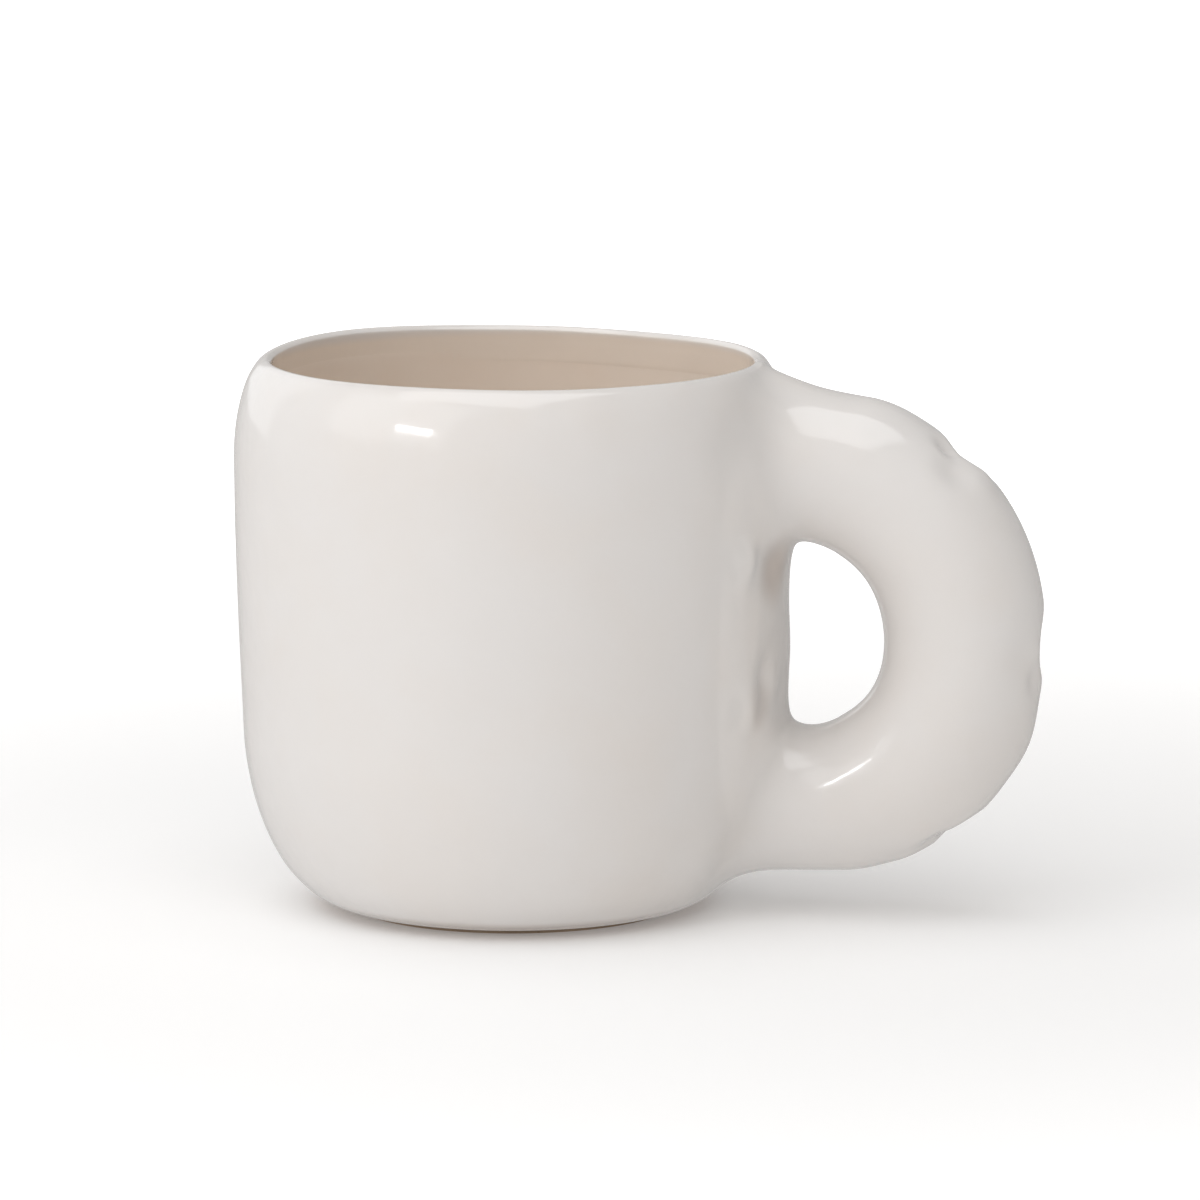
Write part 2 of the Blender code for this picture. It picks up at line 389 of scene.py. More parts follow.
@dataclass(frozen=True)
class RingForm:
    """The ring handle's sizes; angles run round the ring, 0 furthest out and 90 on top."""

    centre_x: float = 47.7 * MM
    centre_z: float = 47.2 * MM
    ring_r: float = 28.3 * MM
    coil_r: float = 12.7 * MM
    swells: tuple[Swell, ...] = (
        Swell(22.0, 48.0, thicker=0.9 * MM),
        Swell(38.0, 22.0, further=0.3 * MM),
        Swell(-41.0, 24.0, thicker=0.8 * MM, further=1.2 * MM),
        Swell(-80.0, 16.0, thicker=-0.45 * MM),
        Swell(-100.0, 14.0, further=-0.9 * MM),
    )

    @property
    def centre(self) -> Vector:
        """The ring's centre."""
        return Vector((AXIS_X + self.centre_x, 0, self.centre_z))

    def thickness(self, degrees: float) -> float:
        """The coil's radius at an angle."""
        return self.coil_r + sum(swell.thicker * swell.share(degrees) for swell in self.swells)

    def reach(self, degrees: float) -> float:
        """How far the middle of the coil stands from the ring's centre at an angle."""
        return self.ring_r + sum(swell.further * swell.share(degrees) for swell in self.swells)

    def outward(self, degrees: float) -> Vector:
        """The direction out from the ring's centre at an angle."""
        turn = math.radians(degrees)
        return Vector((math.cos(turn), 0, math.sin(turn)))

    def on_coil(self, degrees: float, side: float) -> Vector:
        """A point on the coil's surface.

        Args:
            degrees: The angle round the ring.
            side: The angle round the coil, 0 outermost and 90 towards the front.

        Returns:
            The point.
        """
        turn = math.radians(side)
        middle = self.centre + self.outward(degrees) * self.reach(degrees)
        across = self.outward(degrees) * math.cos(turn) - Vector((0, 1, 0)) * math.sin(turn)
        return middle + across * self.thickness(degrees)


@dataclass(frozen=True)
class Push:
    """One press of a finger: where it lands, how far and which way the clay goes, how wide."""

    place: Vector
    move: Vector
    reach: float


# ------------------------------------------------------------------ shader wiring


class Wire:
    """A shader value that ordinary arithmetic works on."""

    def __init__(self, tree: bpy.types.NodeTree, socket: bpy.types.NodeSocket) -> None:
        """Wraps an output socket.

        Args:
            tree: The node tree that the socket is in.
            socket: The output socket.
        """
        self.tree = tree
        self.socket = socket

    def _math(self, operation: str, first: object, second: object) -> "Wire":
        """Adds a Math node.

        Args:
            operation: The node's operation.
            first: A wire or a number.
            second: A wire or a number.

        Returns:
            The node's result.
        """
        node = self.tree.nodes.new("ShaderNodeMath")
        node.operation = operation
        for socket, value in zip(node.inputs, (first, second)):
            if isinstance(value, Wire):
                self.tree.links.new(value.socket, socket)
            else:
                socket.default_value = value
        return Wire(self.tree, node.outputs[0])

    def __add__(self, other: object) -> "Wire":
        """Sum."""
        return self._math("ADD", self, other)

    def __radd__(self, other: object) -> "Wire":
        """Sum, reflected."""
        return self._math("ADD", other, self)

    def __sub__(self, other: object) -> "Wire":
        """Difference."""
        return self._math("SUBTRACT", self, other)

    def __rsub__(self, other: object) -> "Wire":
        """Difference, reflected."""
        return self._math("SUBTRACT", other, self)

    def __mul__(self, other: object) -> "Wire":
        """Product."""
        return self._math("MULTIPLY", self, other)

    def __rmul__(self, other: object) -> "Wire":
        """Product, reflected."""
        return self._math("MULTIPLY", other, self)


class Bench:
    """A new material and the few ways in which its nodes are added."""

    def __init__(self, name: str) -> None:
        """Makes the material with a Principled surface.

        Args:
            name: The material's name.
        """
        self.material = bpy.data.materials.new(name)
        self.material.use_nodes = True
        self.tree = self.material.node_tree
        self.surface = self.tree.nodes["Principled BSDF"]
        self.place = self.node("ShaderNodeTexCoord", output="Object")

    def node(
        self,
        kind: str,
        settings: dict[str, object] | None = None,
        output: str | int = 0,
        places: Sequence[object] = (),
        **sockets: object,
    ) -> Wire:
        """Adds a node.

        Args:
            kind: The node's type.
            settings: Its own settings, which are set first.
            output: The output to return, by name or number.
            places: Values or wires for its inputs in their order.
            sockets: Values or wires for its inputs, with _ for a space in a name.

        Returns:
            The chosen output.
        """
        node = self.tree.nodes.new(kind)
        for key, value in (settings or {}).items():
            setattr(node, key, value)
        for socket, value in zip(node.inputs, places):
            self.plug(socket, value)
        for key, value in sockets.items():
            self.plug(node.inputs[key.replace("_", " ")], value)
        return Wire(self.tree, node.outputs[output])

    def plug(self, socket: bpy.types.NodeSocket, value: object) -> None:
        """Gives an input socket a wire or a value.

        Args:
            socket: The input socket.
            value: A wire, a number or a colour.
        """
        if isinstance(value, Wire):
            self.tree.links.new(value.socket, socket)
        elif isinstance(value, tuple) and len(value) == 3 and socket.type == "RGBA":
            socket.default_value = (*value, 1.0)
        else:
            socket.default_value = value

    def noise(self, scale: float, detail: float = 2.0, distortion: float = 0.0) -> Wire:
        """Soft noise over the piece.

        Args:
            scale: Waves per metre.
            detail: Octaves of finer noise.
            distortion: How far the noise is pulled about.

        Returns:
            The noise, about 0.5.
        """
        return self.node(
            "ShaderNodeTexNoise", Vector=self.place, Scale=scale, Detail=detail, Distortion=distortion
        )

    def spots(self, scale: float, size: float) -> Wire:
        """Small round spots scattered over the piece.

        Args:
            scale: Cells per metre.
            size: The spots' radius as a share of a cell.

        Returns:
            1 inside a spot and 0 outside, with a soft edge.
        """
        cells = self.node("ShaderNodeTexVoronoi", Vector=self.place, Scale=scale)
        return self.between(cells, size, size * 0.5)

    def between(self, value: Wire, low: float, high: float) -> Wire:
        """A smooth step.

        Args:
            value: The value to test.
            low: Where the step is 0.
            high: Where the step is 1.

        Returns:
            0 to 1.
        """
        return self.node(
            "ShaderNodeMapRange", {"interpolation_type": "SMOOTHSTEP"},
            Value=value, From_Min=low, From_Max=high,
        )

    def blend(self, share: object, first: object, second: object) -> Wire:
        """Mixes two colours.

        Args:
            share: 0 gives the first and 1 the second.
            first: A colour or a wire.
            second: A colour or a wire.

        Returns:
            The mixed colour.
        """
        node = self.tree.nodes.new("ShaderNodeMix")
        node.data_type = "RGBA"
        self.plug(node.inputs["Factor"], share)
        self.plug(node.inputs[6], first)
        self.plug(node.inputs[7], second)
        return Wire(self.tree, node.outputs[2])

    def bump(self, height: Wire, depth: float) -> Wire:
        """Turns a height into a surface direction.

        Args:
            height: The height, about 0 to 1.
            depth: How deep 1 is, in metres.

        Returns:
            The normal.
        """
        return self.node("ShaderNodeBump", Height=height, Strength=1.0, Distance=depth)

    def finish(self, **sockets: object) -> bpy.types.Material:
        """Plugs the Principled surface and gives the material.

        Args:
            sockets: Values or wires for its inputs, with _ for a space in a name.

        Returns:
            The material.
        """
        for key, value in sockets.items():
            self.plug(self.surface.inputs[key.replace("_", " ")], value)
        return self.material


# ------------------------------------------------------------------ finishes


@dataclass(frozen=True)
class PaintedShadeSpot:
    """Painted shade in a corner by a handle joint: its middle, how wide it is and how far it darkens
    towards the clay colour.
    """

    middle: Place
    reach: float
    share: float


@dataclass(frozen=True)
class GlazeFinish:
    """A glossy glaze: its colours, how glossy it is and how unevenly it flowed.

    A glaze with a colour for the inside is the outer skin's: over the lip it runs into that colour,
    which is painted shade and warm bounce light; at the foot it darkens towards the clay colour, partly
    glaze thinning onto the bare clay and partly painted shade; and in its spots in the corners by the
    joints it carries painted shade.
    """

    name: str
    colour: Colour
    warm: Colour
    roughness: float
    ripple: float
    # Colour the skin runs into over the lip: painted shade and warm bounce light inside the cup.
    inside: Colour | None = None
    # Spots of painted shade in the corners by the handle's joints.
    painted_shade_spots: tuple[PaintedShadeSpot, ...] = ()
    # Colour of the bare clay, which the glaze darkens towards at the foot, partly as painted shade, and
    # in its spots of painted shade.
    clay: Colour = (0.42, 0.32, 0.25)
    speck: Colour = (0.16, 0.12, 0.09)
    lip_r: float = 41.0 * MM
    lip_z: float = 92.0 * MM
    # Heights over which the glaze darkens towards the clay at the foot: partly glaze thinning onto the
    # bare clay, partly painted shade where the mug meets the floor.
    foot_darkening_top_z: float = 3.4 * MM
    foot_darkening_bottom_z: float = 0.9 * MM

    def over_the_lip(self, bench: Bench) -> Wire:
        """Where the skin has turned over the lip and run into the liner's colour, which is painted
        shade and warm bounce light inside the cup.

        Args:
            bench: The material being made.

        Returns:
            0 outside the cup and 1 inside it.
        """
        across = bench.node(
            "ShaderNodeVectorMath", {"operation": "MULTIPLY_ADD"}, "Vector",
            places=(bench.place, (1, 1, 0), (-AXIS_X, 0, 0)),
        )
        radius = bench.node("ShaderNodeVectorMath", {"operation": "LENGTH"}, "Value", Vector=across)
        height = bench.node("ShaderNodeSeparateXYZ", output="Z", Vector=bench.place)
        high = bench.between(height, self.lip_z - 12 * MM, self.lip_z - 10 * MM)
        inwards = bench.between(radius, self.lip_r + 1.3 * MM, self.lip_r + 0.2 * MM)
        return high * inwards * bench.between(height, self.lip_z - 0.1 * MM, self.lip_z - 1.9 * MM)

    def thinned_glaze_and_painted_shade(self, bench: Bench) -> Wire:
        """Where the glaze is darkened towards the clay colour: at the foot, partly glaze thinning onto
        the bare clay and partly painted shade, and in the corners by the joints as painted shade.

        Args:
            bench: The material being made.

        Returns:
            0 where the glaze keeps its colour, and nearer 1 where it is darkened towards the clay.
        """
        height = bench.node("ShaderNodeSeparateXYZ", output="Z", Vector=bench.place)
        # Darker towards the foot: glaze thinning onto the bare clay and painted shade where the mug
        # meets the floor.
        clay_and_painted_shade = bench.between(height, self.foot_darkening_top_z, self.foot_darkening_bottom_z) * 0.95
        # Painted shade in the corners by the joints, darkening towards the clay colour.
        for spot in self.painted_shade_spots:
            away = bench.node(
                "ShaderNodeVectorMath", {"operation": "DISTANCE"}, "Value",
                places=(bench.place, spot.middle),
            )
            clay_and_painted_shade = clay_and_painted_shade + bench.between(away, spot.reach, spot.reach * 0.2) * spot.share
        return clay_and_painted_shade

    def material(self) -> bpy.types.Material:
        """Makes the glaze.

        Returns:
            The material.
        """
        bench = Bench(self.name)
        cloud = bench.between(bench.noise(22.0, 3.0, 0.4), 0.35, 0.7)
        drift = bench.between(bench.noise(95.0, 2.0), 0.4, 0.75)
        tone = bench.blend(cloud * 0.7 + drift * 0.3, self.colour, self.warm)
        if self.inside:
            # Painted shade and warm bounce light inside the lip.
            tone = bench.blend(self.over_the_lip(bench), tone, self.inside)
            # Glaze thinning and painted shade at the foot, painted shade in the joint corners.
            tone = bench.blend(self.thinned_glaze_and_painted_shade(bench), tone, self.clay)
        fleck = bench.spots(70.0, 0.018) * bench.between(bench.noise(16.0), 0.56, 0.6)
        tone = bench.blend(fleck * 0.75, tone, self.speck)
        flow = bench.noise(48.0, 1.0, 0.3) * 0.8 + bench.noise(150.0, 2.0) * 0.16
        peel = bench.noise(1100.0, 2.0) * 0.012
        return bench.finish(
            Base_Color=tone,
            Roughness=bench.noise(60.0) * 0.12 + (self.roughness - 0.06),
            IOR=1.5,
            Coat_Weight=0.55,
            Coat_Roughness=0.05,
            Normal=bench.bump(flow + peel, self.ripple),
        )


@dataclass(frozen=True)
class ClayFinish:
    """Bare fired clay: fine grit, faint turning lines and small pores."""

    name: str
    colour: Colour
    dark: Colour

    def material(self) -> bpy.types.Material:
        """Makes the clay.

        Returns:
            The material.
        """
        bench = Bench(self.name)
        grit = bench.noise(900.0, 4.0)
        patch = bench.between(bench.noise(40.0, 3.0), 0.35, 0.7)
        pores = bench.spots(420.0, 0.16)
        tone = bench.blend(patch * 0.6 + grit * 0.3, self.colour, self.dark)
        tone = bench.blend(pores * 0.5, tone, self.dark)
        return bench.finish(
            Base_Color=tone,
            Roughness=bench.noise(300.0) * 0.15 + 0.78,
            Normal=bench.bump(grit - pores * 0.8, 0.12 * MM),
        )


# Painted shade and warm bounce light of the cup's inside: a warmer beige than the outer glaze.
PAINTED_SHADE_LINER_TONE = (0.86, 0.765, 0.67)
WHITE_GLAZE = GlazeFinish(
    "white_glaze_gloss", (0.80, 0.775, 0.755), (0.795, 0.755, 0.72), 0.13, 0.65 * MM, PAINTED_SHADE_LINER_TONE,
    # Painted shade on the wall inside the handle's opening, just under the upper joint and just over
    # the lower one.
    painted_shade_spots=(
        PaintedShadeSpot((AXIS_X + 45.0 * MM, -8.0 * MM, 58.5 * MM), 8.0 * MM, 0.42),
        PaintedShadeSpot((AXIS_X + 44.0 * MM, -13.0 * MM, 37.0 * MM), 6.0 * MM, 0.25),
    ),
)
UNDER_GLAZE = replace(
    WHITE_GLAZE, name="white_glaze_under", roughness=0.16, ripple=0.4 * MM, inside=None
)
# The liner is the outer glaze in a warmer beige: painted shade and warm bounce light inside the cup.
LINER_GLAZE_WITH_PAINTED_SHADE = GlazeFinish("liner_gloss_painted_shade", (0.87, 0.78, 0.69), (0.85, 0.74, 0.64), 0.2, 0.4 * MM)
BARE_CLAY = ClayFinish("bare_fired_clay", (0.45, 0.34, 0.25), (0.28, 0.20, 0.14))


# ------------------------------------------------------------------ pieces


@dataclass
class OuterGlaze:
    """The outer skin: one surface over the body, both joints and the handle."""

    body: BodyForm
    ring: RingForm
    body_segments: int = 44
    coil_segments: int = 20
    patch_deg: float = 16.4
    joint_top_deg: float = 87.5
    joint_bottom_deg: float = -95.0
    wall_top_deg: float = 94.0
    wall_bottom_deg: float = -98.0
    fillet: float = 1.7 * MM
    spin_steps: int = 20
    upper_patch: tuple[float, float] = (61.5 * MM, 89.3 * MM)
    lower_patch: tuple[float, float] = (6.2 * MM, 32.6 * MM)

    def heights(self) -> list[float]:
        """Spaces the cage's rings; each patch where the handle joins spans six steps of them.

        Returns:
            The rings' heights, from the heel to the lip.
        """
        low, high = self.lower_patch
        lower = [low + (high - low) * part for part in (0, 0.12, 0.26, 0.43, 0.61, 0.8, 1)]
        low, high = self.upper_patch
        upper = [low + (high - low) * part for part in (0, 0.2, 0.4, 0.59, 0.76, 0.9, 1)]
        heel = [self.body.heel_z, 1.15 * MM, 1.9 * MM, 3.2 * MM]
        return heel + lower + [42 * MM, 51 * MM] + upper + [91.2 * MM, 91.85 * MM]

    def profile(self) -> list[Point]:
        """Lays the body's rings from beside the foot, up the outside and over the lip.

        Returns:
            The cage's rings, as (radius, height).
        """
        body = self.body
        gain = cage_gain(self.body_segments)
        rings = [(body.heel_r - 0.25 * MM, body.heel_z + 0.5 * MM)]
        rings += [(body.outer_radius(z), z) for z in self.heights()]
        crest = body.height - body.lip_round
        rings.append((body.lip_r + 0.1 * MM, body.height + 0.05 * MM))
        for turn in (25, 55, 80):
            a = math.radians(turn)
            rings.append(
                (body.lip_r - body.lip_round * math.sin(a), crest + body.lip_round * math.cos(a))
            )
        for drop, proud in ((0.9, 0.04), (2.0, 0.04), (3.4, 0.03), (4.8, 0.02), (5.8, -0.12)):
            z = crest - drop * MM
            rings.append((body.inner_radius(z) - proud * MM, z))
        return [(r * gain, z) for r, z in through(rings)]

    def handle_cage(self) -> bpy.types.Object:
        """A circle spun round the ring, then thickened ring by ring.

        Returns:
            The handle's cage, open at both ends.
        """
        ring = self.ring
        start = self.joint_top_deg
        radius = ring.coil_r * cage_gain(self.coil_segments)
        arc = start - self.joint_bottom_deg
        step = arc / self.spin_steps
        line = ring.ring_r * cage_gain(round(360 / step))
        deselect_all()
        bpy.ops.mesh.primitive_circle_add(
            vertices=self.coil_segments,
            radius=radius,
            location=ring.centre + ring.outward(start) * line,
            rotation=(0, math.pi - math.radians(start), 0),
        )
        obj = bpy.context.object
        obj.name = "handle_cage"
        with edit_mode(obj):
            bpy.ops.mesh.select_all(action="SELECT")
            bpy.ops.mesh.spin(
                steps=self.spin_steps, angle=-math.radians(arc), center=ring.centre, axis=(0, 1, 0)
            )
            for i in range(self.spin_steps + 1):
                degrees = start - step * i
                across = ring.outward(degrees + 90)
                middle = ring.centre + ring.outward(degrees) * line
                choose_verts(
                    obj,
                    lambda p: abs((p - middle).dot(across)) < MM and (p - middle).length < 1.5 * radius,
                )
                factor = ring.thickness(degrees) / ring.coil_r
                further = ring.reach(degrees) - ring.ring_r
                bpy.ops.transform.resize(value=(factor,) * 3, center_override=middle)
                bpy.ops.transform.translate(value=ring.outward(degrees) * further)
        return obj

    def outside(self, p: Vector) -> bool:
        """Whether a point is clear of the part that is rolled over the lip."""
        low = p.z < self.ring.centre_z
        return low or from_axis(p) > self.body.lip_r + 1.2 * MM

    def in_patch(self, p: Vector, patch: tuple[float, float]) -> bool:
        """Whether a point of the body lies where an end of the handle joins.

        Args:
            p: The point.
            patch: The patch's lowest and highest heights.

        Returns:
            True inside the patch.
        """
        bearing = abs(math.degrees(math.atan2(p.y, p.x - AXIS_X)))
        return bearing < self.patch_deg and patch[0] < p.z < patch[1] and self.outside(p)

    def round_opening(self, obj: bpy.types.Object, degrees: float) -> None:
        """Draws an opening in the wall in to a circle a little larger than the coil.

        Args:
            obj: The body's cage, in edit mode.
            degrees: The angle round the ring at which the coil meets the wall.
        """
        ring = self.ring
        middle = ring.centre + ring.outward(degrees) * ring.reach(degrees)
        mesh = bmesh.from_edit_mesh(obj.data)
        edge = [obj.matrix_world @ v.co for v in mesh.verts if v.is_boundary]
        reach = 1.5 * (ring.thickness(degrees) + self.fillet)
        for place in [p for p in edge if (p - middle).length < reach and self.outside(p)]:
            flat = Vector((0, place.y, place.z - middle.z))
            flat = flat.normalized() * (ring.thickness(degrees) + self.fillet)
            height = middle.z + flat.z
            out = self.body.outer_radius(height) * cage_gain(self.body_segments)
            goal = Vector((AXIS_X + math.sqrt(out**2 - flat.y**2), flat.y, height))
            choose_nearest(obj, place)
            bpy.ops.transform.translate(value=goal - place)

    def join_handle(self, obj: bpy.types.Object, handle: bpy.types.Object) -> None:
        """Opens the body where the handle joins and bridges the open loops.

        Args:
            obj: The body's cage, which takes the handle in.
            handle: The handle's cage.
        """
        with edit_mode(obj):
            for patch, degrees in (
                (self.upper_patch, self.wall_top_deg), (self.lower_patch, self.wall_bottom_deg)
            ):
                choose_faces(obj, lambda p: self.in_patch(p, patch))
                bpy.ops.mesh.delete(type="FACE")
                self.round_opening(obj, degrees)
        make_active(obj)
        handle.select_set(True)
        bpy.ops.object.join()
        middle = self.ring.centre_z
        foot = self.lower_patch[0] / 2
        with edit_mode(obj):
            for upper in (True, False):
                choose_open_edges(
                    obj, lambda p: (p.z > middle) == upper and p.z > foot and self.outside(p)
                )
                bpy.ops.mesh.bridge_edge_loops()

    def handle_marks(self) -> list[Push]:
        """Lists the finger marks squeezed into the handle, and the clay that rose beside them.

        Returns:
            The presses, in order.
        """
        marks = []
        for degrees, side, depth, reach in (
            (80, 0, 0.15, 7.0), (46, -12, 2.0, 6.5), (45.5, -10, 1.3, 3.6), (50, 14, 1.6, 3.6),
            (46, 32, 1.0, 5.0), (42, 4, -0.5, 3.2), (-1.5, -10, 1.8, 6.5), (-2.5, -9, 1.2, 3.4),
            (-9, 18, 0.9, 4.0), (-4, 34, 0.6, 5.5), (-50, 1, 1.8, 5.5), (-50, 2, 1.2, 3.4),
            (-54, 20, 1.0, 4.5), (-62, 8, -0.3, 4.0), (39, 20, -0.4, 5.0), (68, 5, -0.5, 9.0),
            (-72, 10, -0.3, 8.0), (-24, -5, -0.6, 9.0),
        ):
            place = self.ring.on_coil(degrees, side)
            inwards = (self.ring.on_coil(degrees, side + 180) - place).normalized()
            marks.append(Push(place, inwards * depth * MM, reach * MM))
        return marks

    def wall_marks(self) -> list[Push]:
        """Lists the lumps and hollows left on the wall where the handle was smoothed on.

        Returns:
            The presses, in order.
        """
        marks = []
        for bearing, z, depth, reach in (
            (4, 42, -0.7, 12.0), (2, 34, -0.8, 7.0),
            (-24, 61.5, -1.7, 5.0), (-13, 60.5, 1.3, 5.5), (-23, 37, -1.3, 6.0), (-15, 41, 1.2, 4.5),
            (-8, 39, -0.6, 3.5), (-29, 80, 0.5, 9.0), (-30, 12, -0.5, 8.0),
        ):
            out = outwards(bearing)
            place = Vector((AXIS_X, 0, z * MM)) + out * self.body.outer_radius(z * MM)
            marks.append(Push(place, -out * depth * MM, reach * MM))
        smear = Vector((AXIS_X + 45.2 * MM, 0, 88.8 * MM))
        marks.append(Push(smear, Vector((0.2 * MM, 0, 1.9 * MM)), 6.5 * MM))
        return marks

    def lip_marks(self) -> list[Push]:
        """Lists the slight rise and fall of the lip round the mouth.

        Returns:
            The presses, in order.
        """
        marks = []
        for bearing, rise, reach in ((145, 0.7, 34.0), (65, -0.3, 26.0), (-100, 0.15, 24.0)):
            place = Vector((AXIS_X, 0, self.body.height)) + outwards(bearing) * self.body.lip_r
            marks.append(Push(place, Vector((0, 0, rise * MM)), reach * MM))
        return marks

    def press(self, obj: bpy.types.Object, pushes: Sequence[Push]) -> None:
        """Pushes the surface about with a soft falloff, as a finger does to wet clay.

        Args:
            obj: The object, in object mode.
            pushes: The presses, in order.
        """
        with edit_mode(obj):
            for push in pushes:
                choose_nearest(obj, push.place)
                bpy.ops.transform.translate(
                    value=push.move,
                    use_proportional_edit=True,
                    proportional_edit_falloff="SMOOTH",
                    proportional_size=push.reach,
                    use_proportional_connected=True,
                )

    def soften(self, obj: bpy.types.Object) -> None:
        """Smooths the joints over, as a wet finger does.

        Args:
            obj: The object, in object mode.
        """
        ring = self.ring
        wall = AXIS_X + self.body.widest_r
        root = Vector((wall - 1.0 * MM, 0, self.body.height - 3.5 * MM))
        low, high, front, deep = 34 * MM, 64 * MM, 19 * MM, 9 * MM
        with edit_mode(obj):
            for degrees in (self.wall_top_deg, self.wall_bottom_deg):
                middle = ring.centre + ring.outward(degrees) * ring.reach(degrees)
                reach = ring.thickness(degrees) + 5 * MM
                choose_verts(obj, lambda p: (p - middle).length < reach and self.outside(p))
                bpy.ops.mesh.vertices_smooth(factor=0.5, repeat=12)
            choose_verts(obj, lambda p: (p - root).length < 7 * MM and self.outside(p))
            bpy.ops.mesh.vertices_smooth(factor=0.5, repeat=6)
            choose_verts(
                obj, lambda p: low < p.z < high and -front < p.y < 0 and wall - deep < p.x < wall
            )
            bpy.ops.mesh.vertices_smooth(factor=0.5, repeat=1)

    def build(self) -> bpy.types.Object:
        """Models the skin.

        Returns:
            The finished piece.
        """
        obj = turned_cage("glazed_outside", self.profile(), self.body_segments)
        self.join_handle(obj, self.handle_cage())
        subdivide(obj, 2)
        self.press(obj, self.handle_marks() + self.wall_marks() + self.lip_marks())
        self.soften(obj)
        subdivide(obj, 1)
        settle(obj)
        return obj

    def dress(self, obj: bpy.types.Object) -> None:
        """Glazes the skin and puts it in the part.

        Args:
            obj: The finished piece.
        """
        # The skin's glaze carries painted shade and bounce light inside the lip, painted shade in the
        # joint corners, and glaze thinning with painted shade at the foot.
        obj.data.materials.append(WHITE_GLAZE.material())
        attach(obj, "root")
        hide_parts("outer_glaze", "handle_coil", "upper_handle_wad", "lower_handle_wad")


@dataclass
class Liner:
    """The glaze inside the cup."""

    body: BodyForm
    segments: int = 36

    def profile(self) -> list[Point]:
        """Lays rings from behind the rolled lip down the wall and over the floor.

        Returns:
            The cage's rings, as (radius, height).
        """
        body = self.body
        gain = cage_gain(self.segments)
        crest = body.height - body.lip_round
        heights = [crest - 1.5 * MM] + [z * MM for z in (88, 86, 84, 78, 70, 62, 53, 44)]
        rings = [(body.inner_radius(z), z) for z in heights]
        rings[0] = (rings[0][0] + 0.25 * MM, rings[0][1])
        span_r = body.inner_belly_r - body.inner_floor_r
        span_z = body.inner_belly_z - body.inner_floor_z
        rings += [
            (body.inner_floor_r + span_r * out, body.inner_floor_z + span_z * (1 - up))
            for up, out in superellipse(8, 2.0)
        ]
        rings += [(r * MM, body.inner_floor_z) for r in (14, 7, 2.5)]
        return [(r * gain, z) for r, z in through(rings)]

    def build(self) -> bpy.types.Object:
        """Models the liner.

        Returns:
            The finished piece.
        """
        obj = turned_cage("glazed_inside", self.profile(), self.segments)
        close_middle(obj, 5 * MM)
        subdivide(obj, 2)
        settle(obj)
        with edit_mode(obj):
            bpy.ops.mesh.select_all(action="SELECT")
            bpy.ops.mesh.normals_make_consistent(inside=True)
        return obj

    def dress(self, obj: bpy.types.Object) -> None:
        """Glazes the liner, in a beige that is painted shade and warm bounce light, and puts it in the
        part.

        Args:
            obj: The finished piece.
        """
        obj.data.materials.append(LINER_GLAZE_WITH_PAINTED_SHADE.material())
        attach(obj, "root")
        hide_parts("liner_glaze")


@dataclass
class Foot:
    """The bare ring the mug stands on, and the glazed recess inside it."""

    outer_r: float = 28.0 * MM
    inner_r: float = 23.4 * MM
    height: float = 2.1 * MM
    edge: float = 0.5 * MM
    recess_z: float = 1.5 * MM
    segments: int = 128

    def build_ring(self) -> bpy.types.Object:
        """Models the foot ring, with its worn edges.

        Returns:
            The finished piece.
        """
        turns = [math.radians(a) for a in (0, 22, 45, 68, 90)]
        worn = [(self.edge * (1 - math.cos(a)), self.edge * (1 - math.sin(a))) for a in turns]
        inner = [(self.inner_r + over, up) for over, up in worn]
        outer = [(self.outer_r - over, up) for over, up in reversed(worn)]
        profile = [(self.inner_r, self.height), *inner, *outer, (self.outer_r, self.height)]
        obj = turned_cage("bare_foot_ring", profile, self.segments)
        with edit_mode(obj):
            choose_open_edges(obj, lambda p: True)
            bpy.ops.mesh.bridge_edge_loops()
        settle(obj)
        return obj

    def build_recess(self) -> bpy.types.Object:
        """Models the glaze pooled inside the foot ring.

        Returns:
            The finished piece.
        """
        top = self.height + 0.3 * MM
        rings = [
            (self.inner_r - 0.15 * MM, top),
            (self.inner_r - 0.15 * MM, self.recess_z - 0.5 * MM),
            (self.inner_r - 0.35 * MM, self.recess_z - 0.25 * MM),
            (self.inner_r - 1.1 * MM, self.recess_z),
        ]
        rings += [(r * MM, self.recess_z + 0.05 * MM) for r in (16, 9, 3)]
        obj = turned_cage("glazed_recess", rings, 48)
        close_middle(obj, 5 * MM)
        subdivide(obj, 2)
        settle(obj)
        return obj

    def dress(self, ring: bpy.types.Object, recess: bpy.types.Object) -> None:
        """Gives both pieces their finish and puts them in the part.

        Args:
            ring: The foot ring.
            recess: The glazed recess.
        """
        ring.data.materials.append(BARE_CLAY.material())
        recess.data.materials.append(UNDER_GLAZE.material())
        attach(ring, "root")
        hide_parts("foot_ring")
        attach(recess, "root")
        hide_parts("base_glaze")


def dress_hidden_clay() -> None:
    """Gives the packed clay solids that stay under the glaze their finish."""
    clay = BARE_CLAY.material()
    for name in ("cup_wall", "floor_slab"):
        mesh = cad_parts[name].data
        mesh.materials.clear()
        mesh.materials.append(clay)


# ------------------------------------------------------------------ studio


@dataclass(frozen=True)
class Softbox:
    """A soft area light: its place, size, strength and colour, and whether the glaze mirrors it."""

    name: str
    place: Vector
    aim: Vector
    size: Point
    watts: float
    colour: Colour = (1.0, 1.0, 1.0)
    mirrored: bool = True

    def build(self) -> None:
        """Puts the light in the studio."""
        light = bpy.data.lights.new(self.name, "AREA")
        light.shape = "RECTANGLE"
        light.size, light.size_y = self.size
        light.energy = self.watts
        light.color = self.colour
        obj = bpy.data.objects.new(self.name, light)
        obj.location = self.place
        obj.rotation_euler = (self.aim - self.place).to_track_quat("-Z", "Y").to_euler()
        obj.visible_camera = False
        obj.visible_glossy = self.mirrored
        bpy.context.scene.collection.objects.link(obj)


